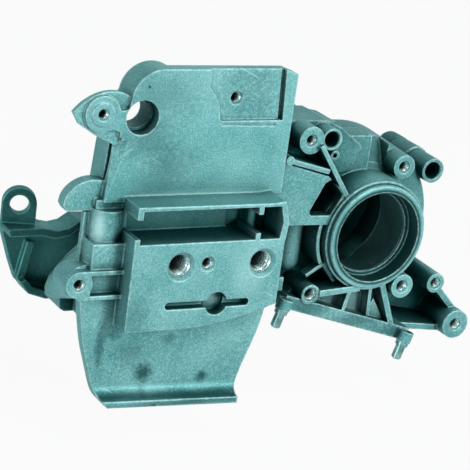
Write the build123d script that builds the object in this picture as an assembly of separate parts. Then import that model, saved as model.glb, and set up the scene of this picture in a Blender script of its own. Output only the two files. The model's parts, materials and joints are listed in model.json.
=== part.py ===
from build123d import *
import os
from math import atan2, cos, degrees, hypot, radians, sin, tan

# Chainsaw crankcase: two die-cast halves, clutch side and flywheel side.
# Origin: crank axis where it meets the face of the clutch-side seal housing.
# +X runs from the guide-bar pad to the crank, +Z up, and +Y into the case.
# All sizes are in millimetres.

# Case depths, measured along the crank axis
pad_y = -12.0
plate_y = 0.0
lip_y = -8.0
skirt_y = -3.0
web_y = 3.5
chamber_wall_y = 18.0
parting_y = 40.0
gasket_t = 0.5
chamber_floor_y = 27.0
fly_floor_y = 54.0
fly_wall_y = 57.5
fly_hub_y = 67.0

# Crank chamber and its main bearings
seal_bore_r = 17.5
seal_depth = 6.7
seal_lip_r = seal_bore_r - 1.7
seal_lip_t = 1.5
hub_wall = 2.8
hub_rim_r = seal_bore_r + hub_wall
hub_step_r = hub_rim_r + 1.1
hub_neck_r = hub_step_r + 0.4
chamber_front_r = 32.4
chamber_parting_r = 33.4
chamber_edge_r = 1.8
chamber_dip = 8.0
chamber_wall = 4.2
rim_depth = 8.0
fly_rim_depth = 7.0
fly_bearing_r = 16.0
fly_hub_r = 20.5
fly_seal_r = 13.0

# Cylinder seat: a flange square to the cylinder axis
seat_turn = 16.6
seat_reach = 36.0
seat_t = 5.0
seat_left = 26.0
seat_right = 33.5
seat_front_y = 3.0
seat_back_y = 70.0
throat_y = 20.0
mouth_r = 18.5
seat_pin_r = 1.9
seat_pin_collar_r = 2.5
seat_pin_collar_t = 1.6
seat_pin_out = 7.2
seat_pin_in = 4.2
seat_pin_y = 1.0
seat_pin_span = 58.6
seat_pin_offset = 2.1
seat_ear_r = 2.9
seat_ear_t = 4.2

# Guide-bar pad
pad_left = -106.2
pad_right = -47.6
pad_top = 19.4
pad_bottom = -26.0
stud_x = (-87.4, -55.4)
stud_z = -2.6
stud_bore_r = 4.25
stud_mouth_r = 5.5
stud_depth = 16.0
pilot_x = -77.0
pilot_r = 2.1
pilot_mouth_r = 2.9
pilot_depth = 12.0
oil_slot_left = -91.9
oil_slot_right = -58.8
oil_slot_z = -17.1
oil_slot_w = 2.8
oil_slot_depth = 3.5
oil_hole_x = -71.8
oil_hole_r = 4.3
oil_hole_depth = 5.0

# Chain-tensioner slot in the pad
slot_left = -104.2
slot_right = -50.6
slot_top = 18.0
slot_bottom = 5.9
slot_depth = 14.5
slot_tab_x = -58.6
slot_tab_w = 1.8
slot_tab_h = 2.6
slot_pit_depth = 21.0

# Tank cover plate above the pad
plate_left_top = -110.4
plate_left_bottom = -113.9
plate_right = -44.6
plate_top = 64.3
plate_t = 5.4
corner_t = 11.5
corner_r = 11.2
corner_x = -96.5
eye_x = -103.0
eye_z = 47.4
eye_r = 6.1
eye_inner_r = 4.9
eye_step = 5.2
eye_depth = 13.0
eye_boss_r = 7.5
recess_left = -78.8
recess_right = -49.6
recess_bottom = 46.0
recess_t = 1.4
recess_screw_x = -67.2
recess_screw_z = 53.8
recess_screw_r = 2.0

lug_x = -117.7
lug_z = 48.7
lug_y = -0.5
lug_boss_r = 4.2
lug_step_r = 6.4

# Tank box behind the plate
tank_left = -91.0
tank_right = -48.0
tank_top = 40.0
tank_bottom = -28.0
tank_cut_x = -66.0
tank_cut_z = 12.0
tank_wall = 3.2
tank_front_y = 4.0
side_wall_depth = 16.0
tank_floor_y = 13.0
column_front_y = 10.0
tank_back_y = 55.0

# Forked boss, step block and hinge barrel left of the pad
fork_reach = 16.0
fork_x = pad_left - fork_reach
fork_z = -10.0
fork_y = -6.0
fork_r = 4.8
fork_hole_r = 2.1
fork_hole_depth = 9.0
fork_arm_t = 1.5
block_y = -4.5
barrel_x = pad_left - 4.6
barrel_y = 3.0
barrel_r = 6.0

# Bar-side skirt with its turned-out lip
skirt_t = 4.0
lip_t = 2.4
lip_cove_r = 4.6
lip_turn = 2.6
skirt_left = -107.1
skirt_right = -54.6
skirt_bottom = -58.6

# Screw posts of the clutch half: x, z, outer radius, hole radius, face depth
post_b1 = (-31.8, 36.6, 5.1, 2.0, 5.0)
post_b2 = (-22.6, 36.5, 4.1, 3.0, 6.0)
post_b3 = (13.5, 23.9, 4.6, 2.1, 10.0)
post_b4 = (30.4, 20.4, 4.8, 3.3, 15.0)
post_b5 = (-24.4, -22.1, 3.8, 2.4, 2.0)
post_b6 = (15.2, -20.6, 4.7, 2.3, 1.0)
post_b7 = (35.7, -23.2, 3.9, 2.1, 8.0)
post_b8 = (48.6, -41.3, 5.8, 2.3, 8.0)
shoulder_y = 14.0
shoulder_top = 41.4
post_hole_depth = 14.0
mouth_chamfer = 0.8

# Case screws, M5, from the flywheel side
screw_r = 2.5
screw_hole_r = 2.53
screw_thread_depth = 12.0
screw_head_r = 4.25
screw_head_h = 5.0
screw_socket_r = 2.3
screw_clear = 0.25
screw_seat_y = 50.0
screw_column_r = 5.4
screw_columns_at = ((-80.0, 17.0), (-54.5, -22.0), (-85.0, -22.0))
screw_spots = (post_b1[:2], post_b7[:2], post_b8[:2], post_b5[:2]) + screw_columns_at
dowel_spots = (post_b4[:2], (-54.5, 34.0))
dowel_r = 4.0
dowel_bore_r = 3.2
dowel_len = 9.0
lug_r = 5.6

# Rear handle bracket on the flywheel half
bracket_y = 50.0
ear_x = -123.1
ear_z = 0.3
ear_r = 6.3
ear_hole_r = 3.5
ear_foot = 4.8
ear_t = 3.2
ear_turn = 18.0


def facing(y):
    # drawing plane seen from the clutch side, X to the right and Z up
    return Plane(origin=(0, y, 0), x_dir=(1, 0, 0), z_dir=(0, -1, 0))


def slab(outline, front, back):
    # an outline swept along the crank direction
    return extrude(facing(back) * outline, amount=back - front, dir=(0, -1, 0))


def shape(points, rounding=0.0):
    # a closed outline, with its corners rounded when asked
    outline = Polygon(*points, align=None)
    if rounding > 0:
        outline = fillet(outline.vertices(), rounding)
    return outline


def post(x, z, radius, front, back):
    return slab(Pos(x, z) * Circle(radius), front, back)


def cone(x, z, front_r, back_r, front, back):
    body = Cone(back_r, front_r, back - front, align=(Align.CENTER, Align.CENTER, Align.MIN))
    return facing(back) * Pos(x, z, 0) * body


def rib(start, end, thickness, front, back):
    # a straight wall between two points of the outline
    run = hypot(end[0] - start[0], end[1] - start[1])
    turn = degrees(atan2(end[1] - start[1], end[0] - start[0]))
    middle = Pos((start[0] + end[0]) / 2, (start[1] + end[1]) / 2)
    return slab(middle * Rot(0, 0, turn) * Rectangle(run, thickness), front, back)


def box(x0, x1, y0, y1, z0, z1):
    return Pos((x0 + x1) / 2, (y0 + y1) / 2, (z0 + z1) / 2) * Box(x1 - x0, y1 - y0, z1 - z0)


def hole(x, z, radius, front, depth, mouth=0.0):
    # a blind hole with a chamfered mouth
    cut = post(x, z, radius, front - 2.0, front + depth)
    if mouth > radius:
        cut += cone(x, z, mouth + 0.5, radius, front - 0.5, front + mouth - radius)
    return cut


def seat_point(along, out):
    # point of the cylinder seat: along the flange, and out from the crank axis
    turn = radians(seat_turn)
    return (along * cos(turn) - out * sin(turn), -along * sin(turn) - out * cos(turn))


def spun(profile):
    # a body turned about the crank axis from radius and depth points
    return revolve(make_face(Polyline(*profile, close=True)), axis=Axis.Y)


# Clutch half: crank chamber and seal housing

def clutch_chamber():
    front = chamber_wall_y
    turned = chamber_edge_r * (1 - cos(radians(45)))
    edge = ThreePointArc((chamber_front_r - chamber_edge_r, front), (chamber_front_r - turned, front + turned),
                         (chamber_front_r, front + chamber_edge_r))
    section = Polyline((chamber_front_r, front + chamber_edge_r), (chamber_parting_r, parting_y),
                       (0, parting_y), (0, front), (chamber_front_r - chamber_edge_r, front))
    wall = revolve(make_face(edge + section), axis=Axis.Y)
    groove_r = (hub_rim_r + hub_step_r) / 2 - 0.25
    neck = spun(((0, 0), (hub_rim_r - 0.5, 0), (hub_rim_r, 0.5), (hub_rim_r, 2.6),
                 (groove_r, 2.6), (groove_r, 2.0), (hub_step_r, 2.0),
                 (hub_step_r, 4.5), (hub_neck_r, 5.5), (hub_neck_r, front - 2.0),
                 (hub_neck_r + 2.0, front), (0, front + 1.0)))
    return wall + neck


def clutch_chamber_hollow():
    inner = chamber_parting_r - chamber_wall
    floor_y = chamber_floor_y
    bearing_y = seal_depth + seal_lip_t
    return spun(((0, -1), (seal_bore_r, -1), (seal_bore_r, seal_depth), (seal_lip_r, seal_depth),
                 (seal_lip_r, bearing_y), (seal_bore_r, bearing_y), (seal_bore_r, floor_y),
                 (inner - 3.0, floor_y), (inner, floor_y + 3.0),
                 (inner, parting_y + 1), (0, parting_y + 1)))


def chamber_face():
    # raised pad at the top of the chamber's front wall
    outline = shape(((-11.8, 19.0), (0.3, 21.0), (0.3, 35.0), (-10.4, 35.0), (-11.8, 32.0)), 0.8)
    return slab(outline, chamber_wall_y - 3.0, chamber_wall_y + 7.0)


def chamber_hollow_side():
    # the front wall slopes back between the raised pad and the screw post beside it
    front = chamber_wall_y
    slope = spun(((24.0, front - 1), (chamber_parting_r + 2, front - 1),
                  (chamber_parting_r + 2, front + chamber_dip), (chamber_front_r, front + chamber_dip),
                  (24.0, front)))
    return slope & slab(shape(((1.4, 20.0), (7.8, 20.0), (13.6, 40.0), (1.4, 40.0))), front - 2, parting_y)


def clutch_web():
    # flat web between the plate and the seal housing, with its window
    web = slab(shape(((-46.0, 29.6), (-23.5, 23.4), (-14.0, 15.5), (-18.0, 4.6), (-46.0, 5.2))),
               web_y, web_y + 5.0)
    window = slab(shape(((-21.4, 22.4), (-16.0, 15.9), (-20.4, 8.2), (-28.9, 8.4), (-29.4, 10.2),
                         (-24.4, 20.8)), 0.9), web_y - 1, web_y + 6)
    return web - window + rib((-20.1, 8.4), (-15.6, 14.8), 1.2, web_y + 3.0, web_y + 5.0)


def clutch_ribs():
    # thin walls that tie the posts to the chamber
    back = chamber_wall_y + 12
    ribs = rib((-43.0, 30.4), (-24.0, 25.4), 1.8, 2.5, back)
    ribs += rib((-28.3, 35.0), (-14.6, 15.8), 1.7, 3.0, back)
    ribs += rib((post_b5[0] + post_b5[2] - 0.3, post_b5[1] + 0.4), (-3.6, -20.4), 2.4, 1.2, 10.0)
    ribs += slab(Pos(-42.0, 30.4) * Circle(1.7), 1.0, 10.0)
    ribs += moat_wall()
    ribs += rib((-19.0, -11.4), (-25.7, -15.8), 1.3, web_y + 1.5, 9.0)
    ribs += rib((-19.0, -11.4), (-13.1, -18.6), 1.3, web_y + 1.5, 9.0)
    return ribs


def moat_wall():
    # curved thin wall beside the seal housing
    ring = Circle(hub_step_r + 2.7) - Circle(hub_step_r + 1.5)
    sector = shape(((0, 0), (-40.0, 9.0), (-40.0, -20.5)))
    return slab(ring & sector, web_y + 0.5, chamber_wall_y + 1)


def clutch_posts():
    posts = post(*post_b1[:3], post_b1[4], shoulder_y + 1)
    posts += post(*post_b1[:2], screw_r + 2.0, shoulder_y, parting_y)
    posts += post(*post_b2[:3], post_b2[4], parting_y)
    posts += cone(*post_b3[:2], post_b3[2], post_b3[2] + 0.4, post_b3[4], chamber_wall_y + 2)
    posts += cone(*post_b4[:2], post_b4[2], post_b4[2] + 0.3, post_b4[4], parting_y)
    posts += cone(*post_b5[:2], post_b5[2], post_b5[2] + 0.5, post_b5[4], parting_y)
    posts += cone(*post_b6[:2], post_b6[2], post_b6[2] + 0.4, post_b6[4], chamber_wall_y + 2)
    posts += cone(*post_b7[:2], post_b7[2], post_b7[2] + 0.5, post_b7[4], parting_y)
    posts += cone(*post_b8[:2], post_b8[2], post_b8[2] + 0.5, post_b8[4], parting_y)
    posts += post(post_b4[0], post_b4[1], lug_r, parting_y - 12.0, parting_y)
    posts += post(-18.6, 29.4, 1.9, 9.0, chamber_wall_y + 2)
    return posts


def shoulder():
    # shoulder that carries the two upper posts into the chamber
    outline = shape(((-46.0, 24.0), (-46.0, shoulder_top), (-21.0, shoulder_top), (-14.5, 38.6),
                     (-9.5, 35.0), (-4.0, 31.0), (-8.0, 22.0), (-28.0, 18.0)), 1.5)
    return slab(outline, shoulder_y, 33.0)


def post_holes():
    cuts = []
    for x, z, outer, bore, face in (post_b1, post_b2, post_b3, post_b4,
                                    post_b5, post_b6, post_b7, post_b8):
        cuts.append(hole(x, z, bore, face, post_hole_depth, bore + mouth_chamfer * 0.6))
    cuts.append(hole(-18.6, 29.4, 0.9, 9.0, 6.0))
    return cuts


# Cylinder seat, shared by both halves

def seat_block(front, back):
    corners = (seat_point(-seat_left, seat_reach), seat_point(seat_right, seat_reach),
               seat_point(seat_right, seat_reach - seat_t), seat_point(-seat_left, seat_reach - seat_t))
    return slab(shape(corners), front, back)


def seat_throat(front, back):
    # walls that lead from the chamber down to the seat
    corners = (seat_point(-22.5, seat_reach - 1), seat_point(22.5, seat_reach - 1),
               seat_point(26.0, 14.0), seat_point(-26.0, 14.0))
    return slab(shape(corners), front, back)


def seat_mouth():
    # round opening that takes the cylinder's skirt
    x, z = seat_point(0, 0)
    down = Plane(origin=(x, parting_y + gasket_t / 2, z), z_dir=seat_down())
    return extrude(down * Circle(mouth_r), amount=seat_reach + 5)


def seat_down():
    turn = radians(seat_turn)
    return (-sin(turn), 0, -cos(turn))


def pin_plane(side):
    # plane of the seat at the left or right locating pin
    x, z = seat_point(seat_pin_offset + side * seat_pin_span / 2, seat_reach)
    return Plane(origin=(x, seat_pin_y, z), z_dir=seat_down())


def seat_ears():
    # ears that carry the locating pins in front of the seat
    ears = extrude(pin_plane(-1) * Circle(seat_ear_r), amount=-seat_ear_t)
    ears += extrude(pin_plane(1) * Circle(seat_ear_r), amount=-seat_ear_t)
    return ears


def pin_bores():
    bores = extrude(pin_plane(-1).offset(-12.0) * Circle(seat_pin_r), amount=14.0)
    bores += extrude(pin_plane(1).offset(-12.0) * Circle(seat_pin_r), amount=14.0)
    return bores


def seat_ribs():
    # pocketed wall between the arm and the seat, with short ribs across it
    top = seat_reach - seat_t + 0.5
    ribs = rib((-6.0, -21.0), (-8.3, -31.0), 1.5, 3.5, 12.0)
    ribs += rib((3.1, -20.5), (3.7, -33.0), 1.3, 4.0, 12.0)
    ribs += rib((7.7, -20.5), (15.1, -38.5), 2.2, 3.0, 16.0)
    ribs += slab(shape(((-27.5, -21.4), (6.0, -20.4), (12.0, -36.0), seat_point(-22.5, top))), 9.0, 20.0)
    ribs += slab(shape(((1.5, -36.4), (6.5, -27.0), (12.5, -36.0), (18.0, -41.0))), 6.0, 20.0)
    return ribs


# Rim that runs round the open side of the chamber half

def parting_rim(front, back):
    rim = rib((post_b4[0], post_b4[1]), (post_b7[0], post_b7[1]), 9.0, front, back)
    rim += rib((post_b7[0], post_b7[1]), (post_b8[0], post_b8[1]), 5.0, front, back)
    rim += rib(seat_point(seat_right - 4, seat_reach - 3), (post_b8[0], post_b8[1]), 5.0, front, back)
    rim += rib((-24.7, -21.9), seat_point(-seat_left + 3, seat_reach - 3), 5.0, front, back)
    rim += rib((-32.0, 36.4), (-6.0, 31.0), 8.0, front, back)
    rim += rib((-32.0, 36.4), (-50.0, 36.4), 8.0, front, back)
    return rim


def right_web():
    # thin walls from the seat and the chamber out to the corner post
    webs = rib((38.0, -25.0), (50.8, -38.0), 2.4, 12.0, parting_y)
    webs += rib(seat_point(seat_right - 4, seat_reach - 2), (46.0, -44.2), 2.4, 12.0, parting_y)
    webs += slab(shape(((28.0, -14.0), (38.0, -22.0), (49.0, -38.0), (46.0, -43.0), (24.0, -38.0))),
                 26.0, parting_y)
    return webs


# Clutch half: tank box, plate, pad and skirt

def tank_outline(inset=0.0):
    # the tank's section, with the corner behind the plate's eye cut away
    outline = shape(((tank_left, tank_bottom), (tank_right, tank_bottom), (tank_right, tank_top),
                     (tank_cut_x, tank_top), (tank_left, tank_cut_z)), 3.0 + tank_wall)
    if inset > 0:
        outline = offset(outline, -inset)
    return outline


def tank_box(front, back):
    return slab(tank_outline(), front, back)


def tank_hollow(front, back):
    return slab(tank_outline(tank_wall), front, back)


def plate_corner():
    return Pos(corner_x, plate_top - corner_r) * Circle(corner_r)


def plate_outline():
    body = shape(((-106.0, 19.0), (plate_right, 19.0), (plate_right, plate_top - 1.6),
                  (plate_right - 4.6, plate_top), (corner_x, plate_top), (corner_x, 56.0), (-106.0, 52.0)))
    side = shape(((plate_left_bottom, 17.4), (-104.0, 17.4), (-100.0, 52.0), (-107.6, 54.0),
                  (-108.3, 50.2), (plate_left_top, 43.0)))
    return plate_corner() + body + side


def side_bevel():
    # the plate's left edge falls away in a facet that is widest at its top
    top = Vector(-107.2, plate_y, 38.9)
    bottom = Vector(plate_left_bottom, plate_y, 17.0)
    deep = Vector(-111.0, plate_y + 3.0, 39.1)
    normal = (bottom - top).cross(deep - top).normalized()
    if normal.X > 0:
        normal = normal * -1
    cutter = Plane(origin=(top + bottom) * 0.5, x_dir=(bottom - top).normalized(), z_dir=normal)
    return extrude(cutter * Rectangle(24.0, 40.0), amount=8.0)


def plate_recess():
    # shallow recess, with a deeper groove along its right edge and a fine one below it
    floor = shape(((recess_left, plate_top + 4), (recess_left + 0.2, 57.8), (-76.2, 54.9), (-74.4, 52.0),
                   (-73.2, recess_bottom), (recess_right, recess_bottom), (recess_right, plate_top + 4)),
                  0.8)
    cuts = slab(floor, plate_y - 1, plate_y + recess_t)
    cuts += rib((recess_right - 0.6, plate_top + 2.0), (recess_right + 0.6, recess_bottom), 1.3,
                plate_y - 1, plate_y + recess_t + 0.9)
    return cuts + rib((-72.4, 44.7), (-51.2, 44.4), 0.7, plate_y - 1, plate_y + 0.4)


def cover_plate():
    plate = slab(plate_outline(), plate_y, plate_y + plate_t)
    thick = shape(((-109.0, 44.0), (-92.0, 44.0), (-92.0, 60.0), (corner_x, 60.0), (-107.6, 54.0)))
    plate += slab(plate_corner(), plate_y + 1, plate_y + corner_t)
    plate += slab(thick, plate_y + plate_t - 2, plate_y + corner_t)
    plate += post(eye_x, eye_z, eye_boss_r, plate_y + plate_t - 2, plate_y + eye_depth)
    plate += slab(shape(((plate_left_bottom + 1.0, 17.4), (-104.0, 17.4), (-104.0, 44.0),
                         (plate_left_top - 0.8, 44.0))), plate_y + 1, plate_y + side_wall_depth)
    plate += post(recess_screw_x, recess_screw_z, 4.2, plate_y + 1, plate_y + 11.0)
    plate -= plate_recess()
    plate -= side_bevel()
    plate -= box(plate_left_bottom - 2, plate_left_top + 0.2, plate_y + 3.3, plate_y + 5.8, 18.0, 41.0)
    return plate


def eye_holes():
    cut = hole(eye_x, eye_z, eye_r, plate_y, eye_step)
    cut += post(eye_x, eye_z, eye_inner_r, plate_y - 1, plate_y + eye_depth + 1)
    return cut


def top_lug():
    # thin leaf-shaped lug, with a raised web that ties its screw boss to the plate
    top = Spline((-128.0, 49.0), (-123.6, 53.2), (-119.0, 55.5), (-113.0, 56.2), (-107.0, 54.0))
    leaf = make_face(top + Polyline((-107.0, 54.0), (-104.0, 50.0), (-104.0, 42.0), (-111.5, 37.4),
                                    (-119.5, 41.1), (-125.4, 44.8), (-128.0, 49.0)))
    upper = Spline((lug_x, lug_z + lug_step_r), (-114.3, 52.7), (-110.8, 50.0), (-108.1, 50.6), (-106.5, 53.6))
    lower = Spline((-109.9, 39.3), (-110.2, 41.7), (-112.1, 42.9), (-115.4, 42.8))
    web = make_face(upper + Polyline((-106.5, 53.6), (-104.0, 50.0), (-104.0, 40.0), (-109.9, 39.3))
                    + lower + Line((-115.4, 42.8), (lug_x, lug_z + lug_step_r)))
    body = slab(leaf, plate_y + 1.4, plate_y + 3.4)
    body += slab(web + Pos(lug_x, lug_z) * Circle(lug_step_r), plate_y, plate_y + 3.4)
    return body + post(lug_x, lug_z, lug_boss_r, lug_y, plate_y + 5.5)


def d_lug():
    # half-round lug at the plate's lower left corner
    edge = Spline((-127.2, 15.6), (-126.2, 19.4), (-122.0, 23.4), (-114.0, 24.4))
    outline = make_face(Polyline((-114.0, 24.4), (-112.0, 24.4), (-112.0, 13.8), (-126.0, 13.8),
                                 (-127.2, 15.6)) + edge)
    return slab(outline, plate_y + 3.0, plate_y + 8.0)


def pad_outline():
    top = Polyline((pad_left, pad_bottom), (pad_left, pad_top), (-54.0, pad_top),
                   (-49.2, pad_top + 0.6), (-46.8, 11.7), (pad_right, 4.0),
                   (pad_right, -18.5))
    bottom = ThreePointArc((pad_right, -18.5), (-64.5, -23.3), (-80.0, -25.8))
    return make_face(top + bottom + Line((-80.0, -25.8), (pad_left, pad_bottom)))


def bar_pad():
    pad = slab(pad_outline(), pad_y, plate_y + 5.0)
    slot = shape(((slot_left - 2.4, slot_top - 3.0), (slot_left, slot_top - 3.0),
                  (slot_left, slot_top), (slot_right, slot_top + 0.2),
                  (slot_right + 1.6, 12.0), (slot_right + 0.8, slot_bottom + 0.3),
                  (slot_left - 0.2, slot_bottom), (slot_left - 0.2, slot_bottom + 2.0),
                  (slot_left - 2.4, slot_bottom + 2.0)))
    pad -= slab(slot, pad_y - 1, pad_y + slot_depth)
    pit = shape(((-64.5, slot_bottom + 0.6), (-64.5, slot_top - 0.6), (slot_right, slot_top - 0.6),
                 (slot_right + 1.2, 12.0), (slot_right, slot_bottom + 0.6)), 0.8)
    pad -= slab(pit, pad_y + 2, pad_y + slot_pit_depth)
    tab = Rectangle(slot_tab_w, slot_tab_h + 0.6)
    pad += slab(Pos(slot_tab_x, slot_top - slot_tab_h / 2 + 0.3) * tab, pad_y, pad_y + slot_depth)
    pad += slab(Pos(slot_tab_x, slot_bottom + slot_tab_h / 2 - 0.3) * tab, pad_y, pad_y + slot_depth)
    return pad


def slot_pillar():
    # upright guide at the right end of the tensioner slot, and the bead at its left end
    pillar_x = slot_tab_x + 2.9
    pillar = Pos(pillar_x, pad_y + slot_depth - 2.5, 12.0) * Cylinder(1.7, 12.6)
    foot = pad_y + slot_depth - 2.5
    bead = Pos(pad_left + 0.2, pad_y + slot_depth - 0.3, 11.2) * Cylinder(1.4, 10.6)
    return pillar + bead + box(pillar_x - 1.7, pillar_x + 1.7, foot, pad_y + slot_pit_depth + 1, 5.7, 18.3)


def pad_holes():
    cuts = []
    for x in stud_x:
        cuts.append(hole(x, stud_z, stud_bore_r, pad_y, stud_depth, stud_mouth_r))
    cuts.append(hole(pilot_x, stud_z + 0.6, pilot_r, pad_y, pilot_depth, pilot_mouth_r))
    groove = slab(Pos((oil_slot_left + oil_slot_right) / 2, oil_slot_z)
                  * SlotOverall(oil_slot_right - oil_slot_left, oil_slot_w), pad_y - 1, pad_y + oil_slot_depth)
    cuts.append(groove)
    cuts.append(hole(oil_hole_x, oil_slot_z, oil_hole_r, pad_y, oil_hole_depth))
    cuts.append(hole(recess_screw_x, recess_screw_z, recess_screw_r, plate_y + recess_t, 7.5, 2.6))
    cuts.append(hole(lug_x, lug_z, 1.9, lug_y, 4.8, 2.3))
    cuts.append(hole(fork_x, fork_z, fork_hole_r, fork_y, fork_hole_depth, fork_hole_r + 0.4))
    return cuts


def left_details():
    # hinge barrel, step block and forked boss left of the pad
    inner = pad_left + 2.2
    barrel = Pos(barrel_x, barrel_y, 8.6) * Cylinder(barrel_r, 12.6)
    wall = box(pad_left - 9.8, inner, 1.0, 10.5, pad_bottom, 18.0)
    strip = box(pad_left - 12.6, pad_left - 8.8, 4.0, 6.0, -5.0, 13.0)
    block = box(pad_left - 11.8, inner, block_y, 8.0, -5.2, 4.0)
    top_z = fork_z + fork_r
    bottom_z = fork_z - fork_r
    upper = box(fork_x, inner, fork_y, 6.0, top_z - fork_arm_t, top_z)
    lower = box(fork_x, inner, fork_y, 6.0, bottom_z - 0.9, bottom_z + fork_arm_t - 0.9)
    floor = box(fork_x + 2.7, inner, fork_y + 3.0, 6.0, bottom_z, top_z)
    cheek = box(fork_x, fork_x + 4.2, fork_y, 6.0, bottom_z - 0.4, top_z)
    boss = post(fork_x, fork_z, fork_r, fork_y, 6.0)
    return barrel + wall + strip + block + upper + lower + floor + cheek + boss


def tank_bulge():
    # rounded end of the tank around the forked boss
    near = shape(((-108.0, -3.0), (-117.0, -3.5), (-122.6, -4.6), (-126.6, -8.6), (-126.2, -13.6),
                  (-122.4, -16.0), (-108.0, -16.4)), 2.2)
    middle = shape(((-108.0, -3.0), (-117.0, -4.6), (-122.5, -8.8), (-126.3, -15.5), (-126.0, -20.0),
                    (-123.4, -21.6), (-108.0, -22.0)), 2.2)
    body = loft([facing(fork_y + 3.4) * near, facing(12.0) * middle])
    far = shape(((-100.0, -5.0), (-108.0, -5.0), (-113.9, -10.6), (-119.7, -18.0), (-121.0, -22.0),
                 (-120.6, -25.6), (-118.6, -26.8), (-100.0, -27.0)), 1.5)
    return body + slab(far, 12.0, 25.0)


def skirt_outline():
    left = Spline((-120.2, -15.5), (-118.2, -27.7), (-116.4, -35.4), (-113.9, -43.1), (-111.4, -50.6),
                  (-110.0, -53.4), (skirt_left, -56.2))
    right = Spline((skirt_right - 0.8, skirt_bottom - 2.0), (skirt_right, -53.0), (-52.6, -45.6),
                   (-49.6, -37.0), (-47.0, -27.5), (-46.0, -15.5))
    return make_face(left + Polyline((skirt_left, -56.2), (skirt_left + 3.0, skirt_bottom - 1.0),
                                     (skirt_right - 0.8, skirt_bottom - 2.0))
                     + right + Line((-46.0, -15.5), (-120.2, -15.5)))


def skirt():
    # side section of the skirt with its cove and lip, run down to the right and trimmed to the outline
    start_x = -125.0
    bottom = skirt_bottom + (skirt_right - start_x) * tan(radians(lip_turn))
    shelf = bottom + lip_t
    back = skirt_y + skirt_t
    turned = lip_cove_r * (1 - cos(radians(45)))
    cove = ThreePointArc((skirt_y - lip_cove_r, shelf), (skirt_y - turned, shelf + turned),
                         (skirt_y, shelf + lip_cove_r))
    section = make_face(Polyline((skirt_y, shelf + lip_cove_r), (skirt_y, -8.0), (back, -8.0),
                                 (back, bottom), (lip_y, bottom),
                                 (lip_y, shelf), (skirt_y - lip_cove_r, shelf)) + cove)
    side = Plane(origin=(start_x, 0, 0), x_dir=(0, 1, 0), z_dir=(1, 0, 0))
    run = (cos(radians(lip_turn)), 0, -sin(radians(lip_turn)))
    return extrude(side * section, amount=90.0, dir=run) & slab(skirt_outline(), lip_y - 2, back + 2)


def behind_pad():
    # round column and small block in the gap between pad and seal housing
    column = Pos(-29.6, 15.0, -2.0) * Cylinder(5.0, 20.0)
    column += Pos(-29.6, 15.0, -12.0) * Sphere(5.0)
    wall = box(-50.0, -24.0, 18.0, 22.0, -24.0, 30.0)
    block = box(-47.0, -35.8, 4.0, 20.0, -20.6, -15.4)
    side = box(tank_right - 4.0, tank_right + 2.0, 2.0, parting_y, tank_bottom + 4.0, tank_top)
    return column + wall + block + side


def screw_columns(front, back):
    columns = post(dowel_spots[1][0], dowel_spots[1][1], screw_column_r, front, back)
    for x, z in screw_columns_at:
        columns += post(x, z, screw_column_r, front, back)
    return columns


def crankcase_clutch_side():
    half = clutch_chamber() + seat_throat(throat_y, parting_y) + seat_block(seat_front_y, parting_y)
    half += seat_ears() + chamber_face() + shoulder()
    half += clutch_web() + clutch_ribs() + clutch_posts() + seat_ribs()
    half += parting_rim(parting_y - rim_depth, parting_y) + right_web()
    half += tank_box(tank_front_y, parting_y)
    half += left_details() + tank_bulge() + skirt() + behind_pad()
    half += cover_plate() + top_lug() + d_lug() + bar_pad()
    half += slot_pillar()
    half -= tank_hollow(tank_floor_y, parting_y + 1) - screw_columns(column_front_y, parting_y + 2)
    half -= clutch_chamber_hollow()
    half -= chamber_hollow_side()
    half -= seat_mouth()
    half -= pin_bores()
    half -= eye_holes()
    for cut in pad_holes() + post_holes():
        half -= cut
    for x, z in screw_spots:
        half -= post(x, z, screw_hole_r, parting_y - screw_thread_depth, parting_y + 1)
    for x, z in dowel_spots:
        half -= post(x, z, dowel_r, parting_y - dowel_len / 2, parting_y + 1)
    return half


# Flywheel half

def fly_shell(joint):
    # chamber and bearing hub, turned about the crank axis
    return spun(((0, joint), (chamber_parting_r - 0.4, joint), (chamber_front_r - 2.6, fly_wall_y - 3.0),
                 (chamber_front_r - 5.6, fly_wall_y), (fly_hub_r + 2.0, fly_wall_y),
                 (fly_hub_r, fly_wall_y + 2.0), (fly_hub_r, fly_hub_y - 0.6),
                 (fly_hub_r - 0.6, fly_hub_y), (0, fly_hub_y)))


def fly_tank(joint):
    # back of the tank, drafted towards its closed end
    behind = Plane(origin=(0, joint, 0), x_dir=(-1, 0, 0), z_dir=(0, 1, 0))
    section = mirror(tank_outline(), about=Plane.YZ)
    return extrude(behind * section, amount=tank_back_y - joint, taper=5.0)


def crankcase_flywheel_side():
    joint = parting_y + gasket_t
    half = fly_shell(joint) + seat_throat(joint, fly_wall_y - 1)
    half += seat_block(joint, seat_back_y)
    half += parting_rim(joint, joint + fly_rim_depth) + fly_tank(joint)
    half += screw_columns(joint, screw_seat_y + 2.0)
    for x, z in screw_spots:
        half += post(x, z, screw_head_r + 0.9, joint, screw_seat_y + 2.0)
    for x, z in dowel_spots:
        half += post(x, z, dowel_r + 1.8, joint, joint + fly_rim_depth)
    half += fly_ribs(joint)
    half += handle_bracket()
    half -= tank_hollow(joint - 1, tank_back_y - tank_wall) - screw_columns(joint - 2, tank_back_y)
    half -= fly_hollow(joint)
    half -= seat_mouth()
    for x, z in screw_spots:
        half -= post(x, z, screw_r + screw_clear, joint - 1, fly_hub_y)
        half -= post(x, z, screw_head_r + 0.4, screw_seat_y, fly_hub_y + 10)
    for x, z in dowel_spots:
        half -= post(x, z, dowel_r, joint - 1, parting_y + gasket_t / 2 + dowel_len / 2)
    return half


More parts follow.
